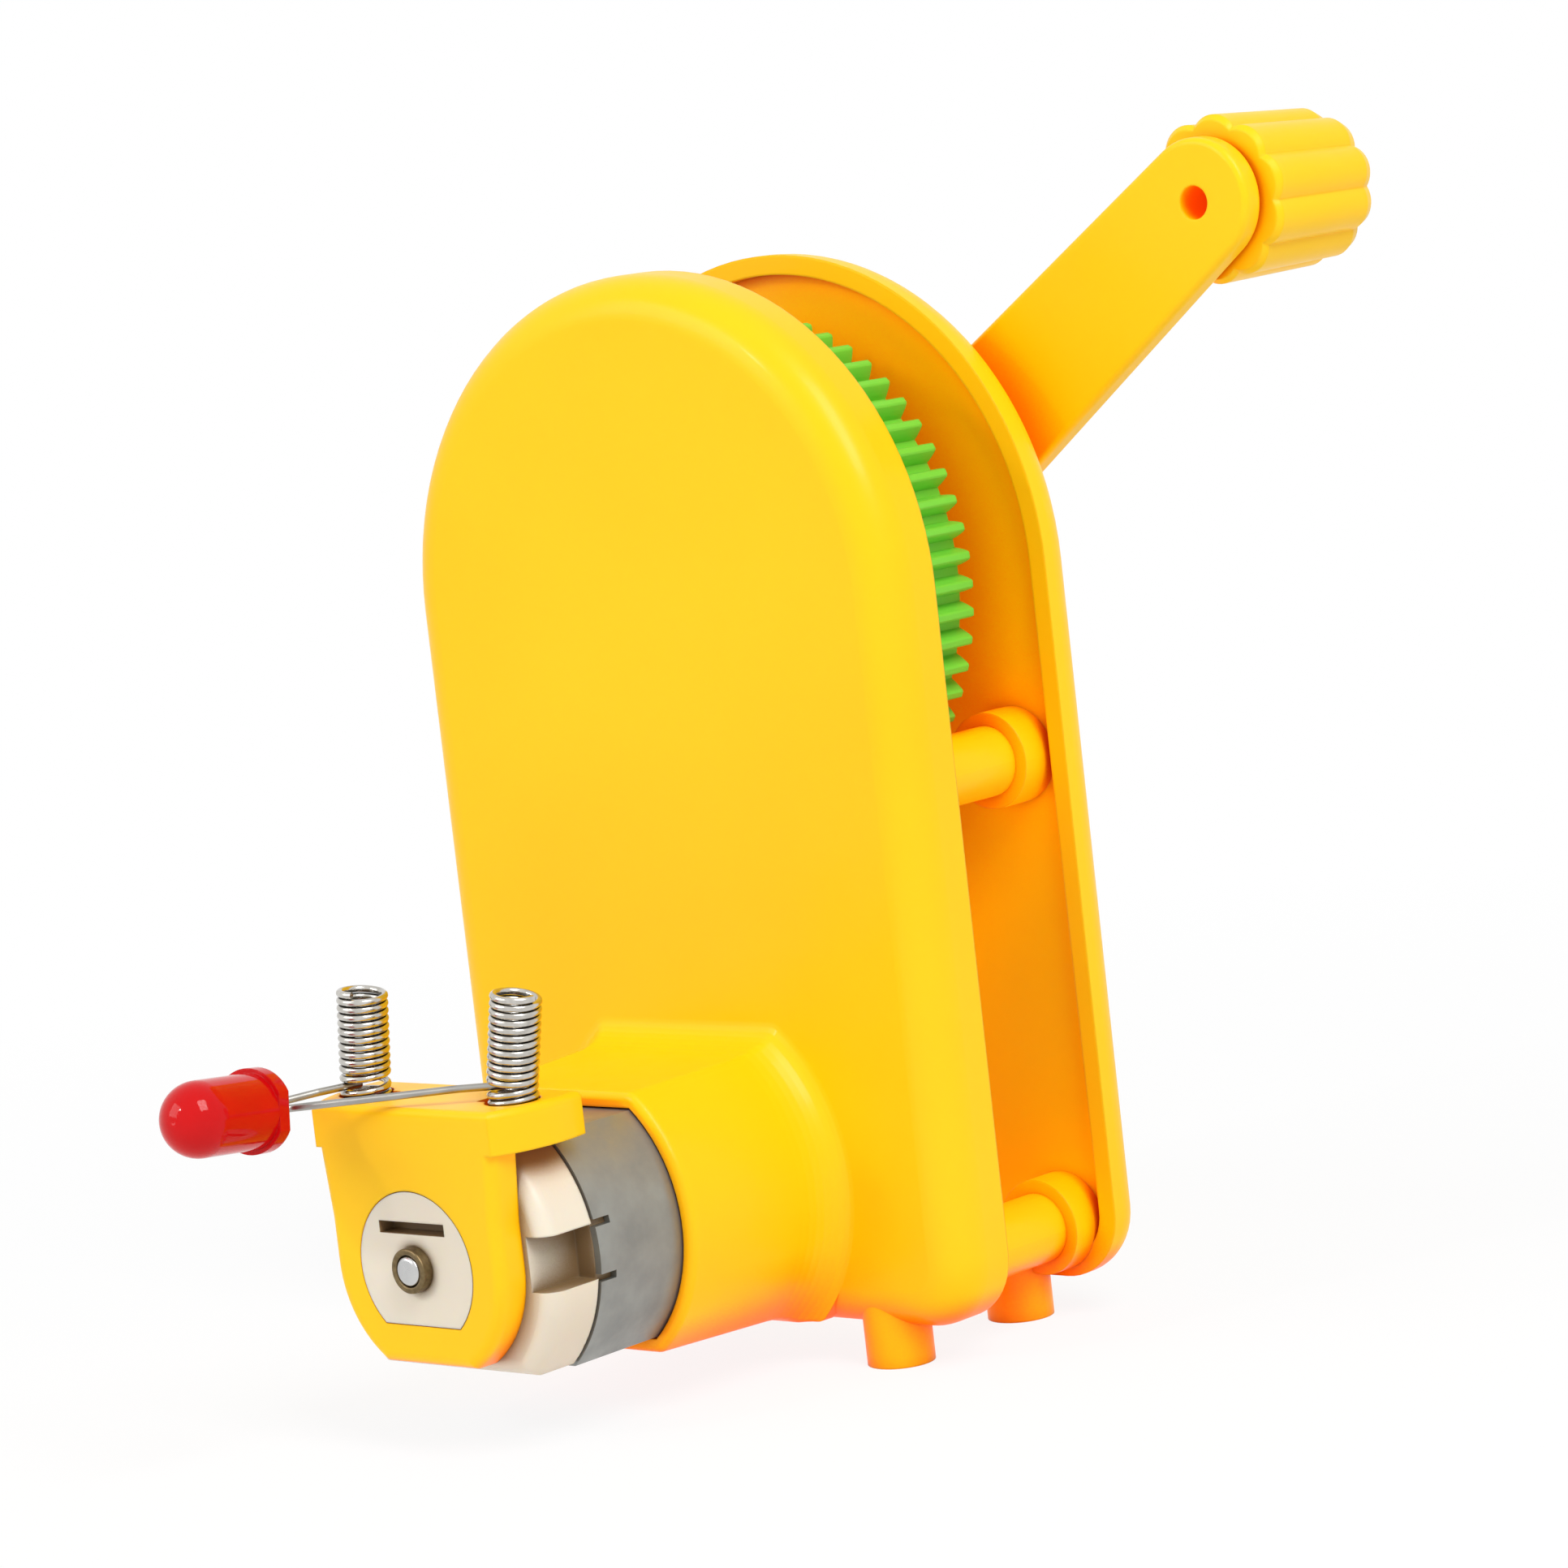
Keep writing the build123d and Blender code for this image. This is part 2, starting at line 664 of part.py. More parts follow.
def motor_pinion():
    section = gear_face(motor_pinion_teeth, wheel_module, motor_pinion_tip, wheel_tip,
                        wheel_centres, mesh_phase(wheel_phase, wheel_teeth, motor_pinion_teeth),
                        0, motor_z)
    body = along_y(section, wheel_start - 0.4, wheel_start + wheel_width + 0.8)
    return body - rod(shaft_radius, 0, 20, 0, motor_z)


# ---- gears and crank ----------------------------------------------------------------------
def compound_gear():
    wheel = gear_face(wheel_teeth, wheel_module, wheel_tip, motor_pinion_tip, wheel_centres,
                      wheel_phase, 0, wheel_z)
    body = along_y(wheel, wheel_start, wheel_start + wheel_width)
    inner = wheel_tip - 2.6
    body -= ring(inner, 5.2, wheel_start - 1, wheel_start + 0.8, 0, wheel_z)
    body -= ring(inner, 5.2, wheel_start + wheel_width - 0.8, wheel_start + wheel_width + 1,
                 0, wheel_z)
    pinion = gear_face(crank_pinion_teeth, crank_module, crank_pinion_tip, crank_tip,
                       crank_centres, mesh_phase(crank_phase, crank_teeth, crank_pinion_teeth),
                       0, wheel_z)
    body += along_y(pinion, wheel_start + wheel_width - 0.5, boss_end - end_play)
    return body - rod(pin_radius + run_fit, 0, rear_end, 0, wheel_z)


def compound_gear_pin():
    return rod(pin_radius, floor - 1.2, rear_end - 1.0, 0, wheel_z)


def crank_gear():
    section = gear_face(crank_teeth, crank_module, crank_tip, crank_pinion_tip, crank_centres,
                        crank_phase, 0, crank_z)
    body = along_y(section, crank_gear_start, crank_gear_end)
    inner = crank_tip - 3.2
    web = (crank_gear_width - 1.8) / 2
    body -= ring(inner, 5.0, crank_gear_start - 1, crank_gear_start + web, 0, crank_z)
    body -= ring(inner, 5.0, crank_gear_end - web, crank_gear_end + 1, 0, crank_z)
    body += rod(4.0, crank_gear_end - 0.5, boss_end - end_play, 0, crank_z)
    return body - rod(crank_shaft_radius, 0, rear_end, 0, crank_z)


def crank_shaft():
    return rod(crank_shaft_radius, floor + 0.2, arm_end - 0.5, 0, crank_z)


def knob_centre():
    angle = radians(crank_angle)
    return crank_length * cos(angle), crank_z + crank_length * sin(angle)


def crank_arm():
    x, z = knob_centre()
    spread = degrees(acos((arm_hub_radius - arm_tip_radius) / crank_length))
    corners = []
    for side in (1, -1):
        angle = radians(crank_angle + side * spread)
        corners.append((arm_hub_radius * cos(angle), crank_z + arm_hub_radius * sin(angle)))
        corners.append((x + arm_tip_radius * cos(angle), z + arm_tip_radius * sin(angle)))
    bar = make_face(Polyline(corners[0], corners[1], corners[3], corners[2], close=True))
    bar = bar + Pos(0, crank_z) * Circle(arm_hub_radius) + Pos(x, z) * Circle(arm_tip_radius)
    body = along_y(bar, arm_start, arm_end)
    rims = body.faces().sort_by(Axis.Y)[0].edges() + body.faces().sort_by(Axis.Y)[-1].edges()
    body = fillet(rims, arm_round)
    body += rod(hub_boss_radius, rear_end + 0.5, arm_start + 0.5, 0, crank_z)
    body += rod(stub_radius, arm_end - 0.5, stub_end, x, z)
    body -= rod(stub_bore, arm_start - 1, stub_end + 1, x, z)
    return body - rod(crank_shaft_radius, 0, arm_end - 0.5, 0, crank_z)


def knob_profile(radius):
    lobe = 0.35 * radius
    outline = Circle(0.8 * radius)
    for index in range(knob_lobes):
        turn = 360 * index / knob_lobes + knob_phase
        outline += Rot(0, 0, turn) * Pos(radius - lobe, 0) * Circle(lobe)
    return outline


def knob():
    x, z = knob_centre()
    length = knob_end - knob_start
    stations = ((0, 0.0, 0.35), (0.35, 0.0, 0.0), (length - 1.2, 1.0, 0.0),
                (length - 0.35, 1.0, 0.35), (length, 1.0, 1.1))
    sections = []
    for depth, taper, inset in stations:
        plane = Plane(origin=(x, knob_start + depth, z), x_dir=(1, 0, 0), z_dir=(0, -1, 0))
        sections.append(plane * knob_profile(knob_radius - taper * knob_taper - inset))
    body = loft(sections, ruled=True)
    body -= rod(stub_radius + knob_fit, knob_start - 1, stub_end - 0.2, x, z)
    return body - rod(knob_sink_radius, stub_end - 0.2, knob_end + 1, x, z)


def knob_screw():
    x, z = knob_centre()
    head = rod(knob_sink_radius - 0.35, stub_end, stub_end + 1.4, x, z)
    head = fillet(head.faces().sort_by(Axis.Y)[-1].edges(), 0.6)
    body = head + rod(stub_bore, stub_end - 6.0, stub_end + 0.2, x, z)
    return body - cross_recess(stub_end + 1.4, x, z, 2.6)


# ---- export -------------------------------------------------------------------------------
left_edges = spring_edges(-spring_x, left_start, left_slit_turn, left_lean)
right_edges = spring_edges(spring_x, right_start, right_slit_turn, right_lean)
print("least gap between turns, mm:",
      round(self_gap(left_edges), 3), round(self_gap(right_edges), 3))

nodes = {
    "front_shell": front_shell(),
    "rear_shell": rear_shell(),
    "case_screws": Compound(children=[case_screw(x, z) for x, z in pillars()]),
    "terminal_bracket": terminal_bracket(),
    "left_terminal_spring": tube(left_edges, spring_wire / 2),
    "right_terminal_spring": tube(right_edges, spring_wire / 2),
    "lamp_lens": lamp_lens(),
    "lamp_left_lead": tube(lead_edges(-1, -spring_x, left_start, left_slit_turn), lead_radius),
    "lamp_right_lead": tube(lead_edges(1, spring_x, right_start, right_slit_turn), lead_radius),
    "motor_can": motor_can(),
    "motor_end_bell": motor_end_bell(),
    "motor_front_bearing": motor_front_bearing(),
    "motor_rear_bearing": motor_rear_bearing(),
    "motor_magnets": Compound(children=motor_magnets()),
    "motor_brushes": Compound(children=motor_brushes()),
    "motor_terminals": Compound(children=motor_terminals()),
    "motor_shaft": motor_shaft(),
    "motor_armature": motor_armature(),
    "motor_windings": Compound(children=motor_windings()),
    "motor_commutator": motor_commutator(),
    "motor_pinion": motor_pinion(),
    "compound_gear": compound_gear(),
    "compound_gear_pin": compound_gear_pin(),
    "crank_gear": crank_gear(),
    "crank_shaft": crank_shaft(),
    "crank_arm": crank_arm(),
    "knob": knob(),
    "knob_screw": knob_screw(),
}

os.makedirs("parts", exist_ok=True)
for name, shape in nodes.items():
    export_step(shape, "parts/" + name + ".step")
    print(name, round(shape.volume, 1))
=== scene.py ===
# %% [markdown]
# # Hand crank generator
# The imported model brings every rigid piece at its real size: two moulded shells, the gears,
# a small motor and a lamp. This lesson dresses those pieces with materials, winds the two
# terminal springs turn by turn, and sets up the camera, the floor and the light.

# %% Load the model
import json
from math import cos, pi, radians, sin

import bpy
from mathutils import Matrix, Vector

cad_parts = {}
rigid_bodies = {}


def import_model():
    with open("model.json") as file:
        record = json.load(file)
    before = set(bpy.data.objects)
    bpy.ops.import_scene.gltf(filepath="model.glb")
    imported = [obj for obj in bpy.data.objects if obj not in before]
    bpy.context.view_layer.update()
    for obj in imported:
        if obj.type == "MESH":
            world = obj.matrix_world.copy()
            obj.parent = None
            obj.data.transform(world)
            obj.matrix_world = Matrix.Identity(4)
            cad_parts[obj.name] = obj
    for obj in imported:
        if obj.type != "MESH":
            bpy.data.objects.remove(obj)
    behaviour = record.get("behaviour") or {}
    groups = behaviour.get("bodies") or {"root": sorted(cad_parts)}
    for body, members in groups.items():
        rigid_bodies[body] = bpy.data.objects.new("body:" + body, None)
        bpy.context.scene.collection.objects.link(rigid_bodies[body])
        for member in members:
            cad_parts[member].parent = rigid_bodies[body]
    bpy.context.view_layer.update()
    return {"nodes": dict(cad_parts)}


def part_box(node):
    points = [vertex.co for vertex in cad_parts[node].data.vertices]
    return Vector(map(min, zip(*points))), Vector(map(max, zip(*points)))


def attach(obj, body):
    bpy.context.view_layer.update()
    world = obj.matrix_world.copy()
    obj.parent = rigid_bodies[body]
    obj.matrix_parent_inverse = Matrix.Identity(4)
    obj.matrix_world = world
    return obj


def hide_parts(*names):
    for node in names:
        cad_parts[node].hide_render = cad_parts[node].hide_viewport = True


for leftover in list(bpy.data.objects):
    bpy.data.objects.remove(leftover)
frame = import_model()
MM = 0.001

# %% [markdown]
# ## Camera
# The outlines of both shells, measured on the photograph, were solved for one camera: it
# stands 36 cm away, 42 degrees round to the right, a little above the lamp, and it is
# rolled by 6.5 degrees, so the case seems to lean. A rolled camera needs its three axes
# worked out, because a plain track-to would keep it level.

# %% Camera
camera_place = Vector((241.83, -253.97, 81.32)) * MM
camera_target = Vector((2.517, 9.756, 37.995)) * MM
camera_roll = radians(-6.505)

camera_data = bpy.data.cameras.new("camera")
camera_data.sensor_width = 36.0
camera_data.lens = 120.22
camera_data.clip_start = 0.01
camera_data.clip_end = 20.0
camera = bpy.data.objects.new("camera", camera_data)
bpy.context.scene.collection.objects.link(camera)
bpy.context.scene.camera = camera

back = (camera_place - camera_target).normalized()
level_right = Vector((0, 0, 1)).cross(back).normalized()
level_up = back.cross(level_right)
right = level_right * cos(camera_roll) + level_up * sin(camera_roll)
up = level_up * cos(camera_roll) - level_right * sin(camera_roll)
turn = Matrix((right, up, back)).transposed()
camera.matrix_world = Matrix.Translation(camera_place) @ turn.to_4x4()
print("camera distance, m:", round((camera_place - camera_target).length, 3))

# %% [markdown]
# ## Helpers for materials
# Every finish starts from the same few steps: a material with its Principled shader, and
# nodes joined by short calls. Patterns read Object coordinates, which are metres here, so a
# noise scale of 100 has features of about a centimetre.

# %% Material helpers
def new_material(name, roughness=0.5, metallic=0.0):
    material = bpy.data.materials.new(name)
    material.use_nodes = True
    shader = material.node_tree.nodes["Principled BSDF"]
    shader.inputs["Roughness"].default_value = roughness
    shader.inputs["Metallic"].default_value = metallic
    return material, material.node_tree, shader


def add(tree, kind, **settings):
    node = tree.nodes.new("ShaderNode" + kind)
    for key, value in settings.items():
        setattr(node, key, value)
    return node


def noise(tree, coordinates, scale, detail=3.0, rough=0.5):
    node = add(tree, "TexNoise")
    node.inputs["Scale"].default_value = scale
    node.inputs["Detail"].default_value = detail
    node.inputs["Roughness"].default_value = rough
    tree.links.new(coordinates, node.inputs["Vector"])
    return node.outputs["Fac"]


def spread(tree, value, low, high, from_low=0.3, from_high=0.7):
    """Map a mask onto low..high."""
    node = add(tree, "MapRange")
    node.inputs["From Min"].default_value = from_low
    node.inputs["From Max"].default_value = from_high
    node.inputs["To Min"].default_value = low
    node.inputs["To Max"].default_value = high
    tree.links.new(value, node.inputs["Value"])
    return node.outputs["Result"]


def mix_colours(tree, mask, first, second):
    node = add(tree, "Mix", data_type="RGBA")
    for socket, colour in ((node.inputs[6], first), (node.inputs[7], second)):
        if isinstance(colour, tuple):
            socket.default_value = (*colour, 1.0)
        else:
            tree.links.new(colour, socket)
    tree.links.new(mask, node.inputs["Factor"])
    return node.outputs[2]


def bump(tree, height, shader, distance, strength=1.0, normal=None):
    node = add(tree, "Bump")
    node.inputs["Strength"].default_value = strength
    node.inputs["Distance"].default_value = distance
    tree.links.new(height, node.inputs["Height"])
    if normal is not None:
        tree.links.new(normal, node.inputs["Normal"])
    tree.links.new(node.outputs["Normal"], shader.inputs["Normal"])


# %% [markdown]
# ## Shared surface effects
# Moulded plastic is never perfectly even: its colour drifts a little, its gloss is patchy
# and its sharp edges come out of the mould slightly rounded. One node group gives all three,
# and each plastic uses it with its own numbers. The rounded edge is only a bent normal, so
# the model's sizes stay as they are.

# %% Group: moulded surface
moulded = bpy.data.node_groups.new("moulded surface", "ShaderNodeTree")
moulded.interface.new_socket("Drift Scale", in_out="INPUT", socket_type="NodeSocketFloat")
moulded.interface.new_socket("Edge Radius", in_out="INPUT", socket_type="NodeSocketFloat")
moulded.interface.new_socket("Drift", in_out="OUTPUT", socket_type="NodeSocketFloat")
moulded.interface.new_socket("Patches", in_out="OUTPUT", socket_type="NodeSocketFloat")
moulded.interface.new_socket("Grain", in_out="OUTPUT", socket_type="NodeSocketFloat")
moulded.interface.new_socket("Edge Normal", in_out="OUTPUT", socket_type="NodeSocketVector")
group_in = moulded.nodes.new("NodeGroupInput")
group_out = moulded.nodes.new("NodeGroupOutput")
place = add(moulded, "TexCoord").outputs["Object"]
drift = add(moulded, "TexNoise")
drift.inputs["Detail"].default_value = 2.0
moulded.links.new(place, drift.inputs["Vector"])
moulded.links.new(group_in.outputs["Drift Scale"], drift.inputs["Scale"])
moulded.links.new(drift.outputs["Fac"], group_out.inputs["Drift"])
moulded.links.new(noise(moulded, place, 160.0, 4.0), group_out.inputs["Patches"])
moulded.links.new(noise(moulded, place, 2600.0, 2.0), group_out.inputs["Grain"])
edge = add(moulded, "Bevel", samples=4)
moulded.links.new(group_in.outputs["Edge Radius"], edge.inputs["Radius"])
moulded.links.new(edge.outputs["Normal"], group_out.inputs["Edge Normal"])
print("group:", moulded.name, len(moulded.nodes), "nodes")

# %% [markdown]
# Metal parts share another group: fine scratches that run one way, and cloudy tarnish.
# Stretching the coordinates before the noise turns its specks into scratches.

# %% Group: worked metal
worked = bpy.data.node_groups.new("worked metal", "ShaderNodeTree")
worked.interface.new_socket("Stretch", in_out="INPUT", socket_type="NodeSocketVector")
worked.interface.new_socket("Cloud Scale", in_out="INPUT", socket_type="NodeSocketFloat")
worked.interface.new_socket("Scratches", in_out="OUTPUT", socket_type="NodeSocketFloat")
worked.interface.new_socket("Clouds", in_out="OUTPUT", socket_type="NodeSocketFloat")
group_in = worked.nodes.new("NodeGroupInput")
group_out = worked.nodes.new("NodeGroupOutput")
place = add(worked, "TexCoord").outputs["Object"]
stretch = add(worked, "VectorMath", operation="MULTIPLY")
worked.links.new(place, stretch.inputs[0])
worked.links.new(group_in.outputs["Stretch"], stretch.inputs[1])
worked.links.new(noise(worked, stretch.outputs["Vector"], 1.0, 3.0), group_out.inputs["Scratches"])
clouds = add(worked, "TexNoise")
clouds.inputs["Detail"].default_value = 4.0
worked.links.new(place, clouds.inputs["Vector"])
worked.links.new(group_in.outputs["Cloud Scale"], clouds.inputs["Scale"])
worked.links.new(clouds.outputs["Fac"], group_out.inputs["Clouds"])
print("group:", worked.name, len(worked.nodes), "nodes")

# %% [markdown]
# ## Plastics
# The case, bracket, arm and knob are one bright yellow plastic. Its walls let a little red
# and orange light through, which is why the inside of the case glows orange. Tracing that
# light through every wall is slow, so an ambient occlusion mask finds the sheltered places
# instead. There the base colour turns to orange, which is painted shade and painted bounce
# light, and a weak emitted glow is painted light for the light that comes through. In the
# deepest places, behind the gear, both turn to a darker orange painted shade and glow. A
# second mask with a short reach keeps the painted glow out of thin gaps, which stay dark on
# the real thing. Subsurface scattering softens the edges.

# %% Masks for sheltered places
half_open = (0.88, 0.52)    # openness at which the painted shade starts, and is full
deep = (0.50, 0.22)
thin_gap = (0.80, 0.40)
gap_reach = 1.6             # mm
unlit = (0.0, 0.0, 0.0)


def openness(tree, reach):
    """How much of its surroundings a point sees: 1 in the open, 0 in a hole."""
    shelter = add(tree, "AmbientOcclusion", samples=8)
    shelter.inputs["Distance"].default_value = reach
    return shelter.outputs["AO"]


def sheltered(tree, share, levels):
    """A mask that is 0 on open surfaces and 1 deep between walls."""
    return spread(tree, share, 0.0, 1.0, *levels)


print("inner tone between openness", half_open, "deepest tone between", deep)


# %% Plastic finish
def plastic(name, colour, shade, roughness, scatter=0.0, drift=30.0, edge_radius=0.25, coat=0.0,
            painted_shade=None, deepest_shade=None, glow=None, deep_glow=None, reach=14.0, shine=0.3):
    material, tree, shader = new_material(name, roughness)
    shader.inputs["Specular IOR Level"].default_value = shine
    effect = add(tree, "Group", node_tree=moulded)
    effect.inputs["Drift Scale"].default_value = drift
    effect.inputs["Edge Radius"].default_value = edge_radius * MM
    surface_colour = mix_colours(tree, spread(tree, effect.outputs["Drift"], 0.0, 1.0), colour, shade)
    # Painted shade: sheltered places turn to the given orange or brown, for shade and bounce light.
    if painted_shade is not None:
        open_share = openness(tree, reach * MM)
        inside = sheltered(tree, open_share, half_open)
        surface_colour = mix_colours(tree, inside, surface_colour, painted_shade)
    # Painted shade in the deepest places, and painted light: an emitted glow for light through the
    # walls, kept out of thin gaps.
    if deepest_shade is not None:
        deep_inside = sheltered(tree, open_share, deep)
        surface_colour = mix_colours(tree, deep_inside, surface_colour, deepest_shade)
        lit = mix_colours(tree, inside, unlit, glow)
        lit = mix_colours(tree, deep_inside, lit, deep_glow)
        narrow = sheltered(tree, openness(tree, gap_reach * MM), thin_gap)
        lit = mix_colours(tree, narrow, lit, unlit)
        tree.links.new(lit, shader.inputs["Emission Color"])
        shader.inputs["Emission Strength"].default_value = 1.0
    tree.links.new(surface_colour, shader.inputs["Base Color"])
    gloss = spread(tree, effect.outputs["Patches"], roughness * 0.85, roughness * 1.2)
    tree.links.new(gloss, shader.inputs["Roughness"])
    bump(tree, effect.outputs["Grain"], shader, 0.006 * MM, 0.25, effect.outputs["Edge Normal"])
    shader.inputs["Subsurface Weight"].default_value = scatter
    shader.inputs["Subsurface Radius"].default_value = (1.0, 0.45, 0.08)
    shader.inputs["Subsurface Scale"].default_value = 1.2 * MM
    shader.inputs["Coat Weight"].default_value = coat
    shader.inputs["Coat Roughness"].default_value = 0.12
    return material


# The yellow's orange and dark orange in sheltered places are painted shade and bounce light; its two
# glows are painted light.
yellow = plastic("glossy yellow plastic", (1.0, 0.60, 0.008), (1.0, 0.55, 0.006), 0.34,
                 scatter=0.12, coat=0.05, shine=0.15, painted_shade=(1.0, 0.46, 0.0),
                 deepest_shade=(0.85, 0.14, 0.0), glow=(0.34, 0.14, 0.0), deep_glow=(0.26, 0.03, 0.0))
green = plastic("green gear plastic", (0.20, 0.66, 0.05), (0.15, 0.58, 0.04), 0.4,
                scatter=0.1, edge_radius=0.12)
white = plastic("white gear plastic", (0.86, 0.85, 0.8), (0.8, 0.79, 0.74), 0.4,
                scatter=0.1, edge_radius=0.12)
# The cream nylon's dark brown in sheltered places, such as the end bell's notch and under the
# platform, is painted shade.
cream = plastic("cream nylon", (0.78, 0.72, 0.60), (0.72, 0.65, 0.53), 0.34,
                scatter=0.2, drift=90.0, edge_radius=0.2, painted_shade=(0.24, 0.15, 0.07), reach=6.0)
print("plastics:", [m.name for m in (yellow, green, white, cream)])

# %% [markdown]
# The lamp is tinted clear plastic over a metal cup. Glass with a tint would be one way to
# make it, but seen from outside it is a deep, even red with a wet shine, so a red plastic
# with a little scattering and a smooth clear coat gives the same look with less noise.

# %% Red lens
lens_red, tree, shader = new_material("red lamp plastic", 0.08)
shader.inputs["Specular IOR Level"].default_value = 0.12
effect = add(tree, "Group", node_tree=moulded)
effect.inputs["Drift Scale"].default_value = 220.0
effect.inputs["Edge Radius"].default_value = 0.15 * MM
surface_colour = mix_colours(tree, effect.outputs["Drift"], (0.62, 0.003, 0.004), (0.50, 0.002, 0.003))
tree.links.new(surface_colour, shader.inputs["Base Color"])
tree.links.new(effect.outputs["Edge Normal"], shader.inputs["Normal"])
shader.inputs["Subsurface Weight"].default_value = 0.15
shader.inputs["Subsurface Radius"].default_value = (1.0, 0.05, 0.05)
shader.inputs["Subsurface Scale"].default_value = 1.0 * MM
shader.inputs["Coat Weight"].default_value = 0.15
shader.inputs["Coat Roughness"].default_value = 0.03
print("lens:", lens_red.name)

# %% [markdown]
# ## Metals
# The motor can is zinc plated sheet: dull, cloudy and light grey. The shaft and wires are
# bright steel, the bearings are porous bronze, and the parts inside the motor are copper,
# dark ferrite and stamped steel.

# %% Metal finish
turn_gap = 0.5              # mm, how far the painted shade between turns looks for the next turn of a spring


def metal(name, colour, dull, roughness, stretch=(900, 900, 900), cloud=500.0, metallic=1.0,
          relief=0.004, gap_shade=None):
    material, tree, shader = new_material(name, roughness, metallic)
    effect = add(tree, "Group", node_tree=worked)
    effect.inputs["Stretch"].default_value = stretch
    effect.inputs["Cloud Scale"].default_value = cloud
    metal_colour = mix_colours(tree, spread(tree, effect.outputs["Clouds"], 0.0, 1.0), colour, dull)
    # Painted shade: the dark colour between close turns of a spring.
    if gap_shade is not None:
        between_turns = sheltered(tree, openness(tree, turn_gap * MM), (0.75, 0.35))
        metal_colour = mix_colours(tree, between_turns, metal_colour, gap_shade)
    tree.links.new(metal_colour, shader.inputs["Base Color"])
    gloss = spread(tree, effect.outputs["Clouds"], roughness * 0.8, roughness * 1.25)
    tree.links.new(gloss, shader.inputs["Roughness"])
    bump(tree, effect.outputs["Scratches"], shader, relief * MM, 0.4)
    return material


zinc = metal("zinc plated sheet", (0.32, 0.33, 0.31), (0.26, 0.27, 0.26), 0.42,
             stretch=(2500, 260, 2500), cloud=420.0, metallic=0.75)
steel = metal("ground steel", (0.62, 0.62, 0.61), (0.50, 0.50, 0.50), 0.25,
              stretch=(1800, 300, 1800))
plated = metal("plated screw steel", (0.66, 0.66, 0.67), (0.52, 0.52, 0.54), 0.3)
# The dark colour between its turns is painted shade.
spring_wire_steel = metal("bright spring wire", (0.62, 0.60, 0.56), (0.46, 0.44, 0.40), 0.2,
                          cloud=1500.0, gap_shade=(0.03, 0.025, 0.02))
tinned = metal("tinned lead wire", (0.42, 0.41, 0.38), (0.30, 0.29, 0.27), 0.35)
core = metal("stamped core steel", (0.26, 0.26, 0.27), (0.18, 0.18, 0.19), 0.5,
             stretch=(300, 6000, 300), relief=0.02)
bronze = metal("porous bronze", (0.22, 0.16, 0.08), (0.14, 0.10, 0.05), 0.4, cloud=3000.0)
copper = metal("copper", (0.72, 0.32, 0.16), (0.60, 0.24, 0.11), 0.35,
               stretch=(400, 9000, 400), relief=0.02)
ferrite = metal("dark ferrite", (0.07, 0.07, 0.075), (0.04, 0.04, 0.045), 0.7, metallic=0.0)
metals = (zinc, steel, plated, spring_wire_steel, tinned, core, bronze, copper, ferrite)
print("metals:", [m.name for m in metals])

# %% [markdown]
# ## Dressing the model's own pieces
# Each node keeps its mesh and gets one finish. The list reads like a parts list.

# %% Assign finishes
finishes = {
    yellow: ["front_shell", "rear_shell", "terminal_bracket", "crank_arm", "knob"],
    green: ["crank_gear"],
    white: ["compound_gear", "motor_pinion"],
    cream: ["motor_end_bell"],
    lens_red: ["lamp_lens"],
    zinc: ["motor_can"],
    steel: ["motor_shaft", "crank_shaft", "compound_gear_pin"],
    plated: ["case_screws", "knob_screw"],
    spring_wire_steel: ["left_terminal_spring", "right_terminal_spring"],
    tinned: ["lamp_left_lead", "lamp_right_lead"],
    bronze: ["motor_front_bearing", "motor_rear_bearing"],
    copper: ["motor_brushes", "motor_terminals", "motor_windings", "motor_commutator"],
    core: ["motor_armature"],
    ferrite: ["motor_magnets"],
}
for finish, names in finishes.items():
    for name in names:
        node = frame["nodes"][name]
        node.data.materials.clear()
        node.data.materials.append(finish)
print("dressed", sum(len(names) for names in finishes.values()), "nodes")

# %% [markdown]
# ## Shaft end and bearing
# The motor's shaft ends in a small bearing in the middle of the end bell, just under the
# camera's eye. The model's shaft stands out a little too far there and its facets show, so
# both get a closer look: a rod whose ends are bevelled, which stops almost flush with the
# bearing, and a ring spun from one small profile, so that its rounded edge runs all round.

# %% Finishing a piece
def select_only(piece):
    bpy.ops.object.select_all(action="DESELECT")
    piece.select_set(True)
    bpy.context.view_layer.objects.active = piece


def settle(piece, body, node, finish):
    """Give a finished piece its place in the part."""
    select_only(piece)
    bpy.ops.object.transform_apply(location=True, rotation=True, scale=True)
    bpy.ops.object.shade_smooth_by_angle(angle=radians(50))
    piece.data.materials.append(finish)
    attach(piece, body)
    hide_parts(node)
    print(piece.name, "replaces", node, "with", len(piece.data.polygons), "faces")


print("helpers: select_only, settle")

# %% Rounded shaft
round_steps = 48
setback = 0.6 * MM          # the photographed shaft ends this much earlier
end_rounding = 0.3 * MM

shaft_low, shaft_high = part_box("motor_shaft")
axis_z = (shaft_low.z + shaft_high.z) / 2
shaft_radius = (shaft_high.x - shaft_low.x) / 2
shaft_back = shaft_low.y + setback
bpy.ops.object.select_all(action="DESELECT")
bpy.ops.mesh.primitive_cylinder_add(
    vertices=round_steps, radius=shaft_radius, depth=shaft_high.y - shaft_back,
    location=(0, (shaft_high.y + shaft_back) / 2, axis_z), rotation=(pi / 2, 0, 0))
shaft = bpy.context.object
shaft.name = "rounded_shaft"
rounding = shaft.modifiers.new("rounded ends", "BEVEL")
rounding.width = end_rounding
rounding.segments = 4
rounding.limit_method = "ANGLE"
rounding.angle_limit = radians(50)
bpy.ops.object.modifier_apply(modifier=rounding.name)
settle(shaft, "rotor", "motor_shaft", steel)

# %% Rounded bearing
running_fit = 0.05 * MM
ring_rounding = 0.12 * MM

